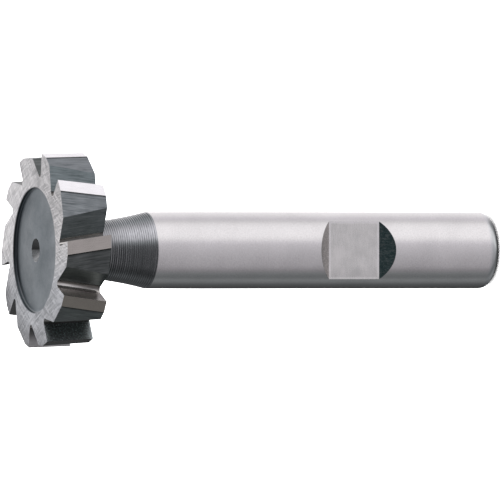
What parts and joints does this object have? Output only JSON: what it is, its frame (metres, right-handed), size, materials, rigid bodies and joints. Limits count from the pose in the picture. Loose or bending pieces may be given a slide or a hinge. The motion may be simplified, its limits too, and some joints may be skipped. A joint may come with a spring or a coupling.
{
  "type": "woodruff keyseat cutter",
  "caption": "Keyseat milling cutter in one piece of tool steel: wide toothed head with staggered teeth, thin neck and plain shank with a clamping flat.",
  "frame": {"origin": "centre of the shank's end face, where the cutter stands on its shank; the tool's axis is the row's Z axis", "axes": "+Z along the tool's axis from the shank's end to the cutting head; -Y out of the clamping flat; +X completes the right-handed frame"},
  "size_m": [0.0252, 0.0254, 0.063],
  "materials": {
    "tool_steel": "bright ground shank, lands and front ring; dark turned neck; grey milled tooth backs and gullets"
  },
  "bodies": {
    "root": {"keyseat_cutter": "tool_steel"}
  },
  "joints": []
}
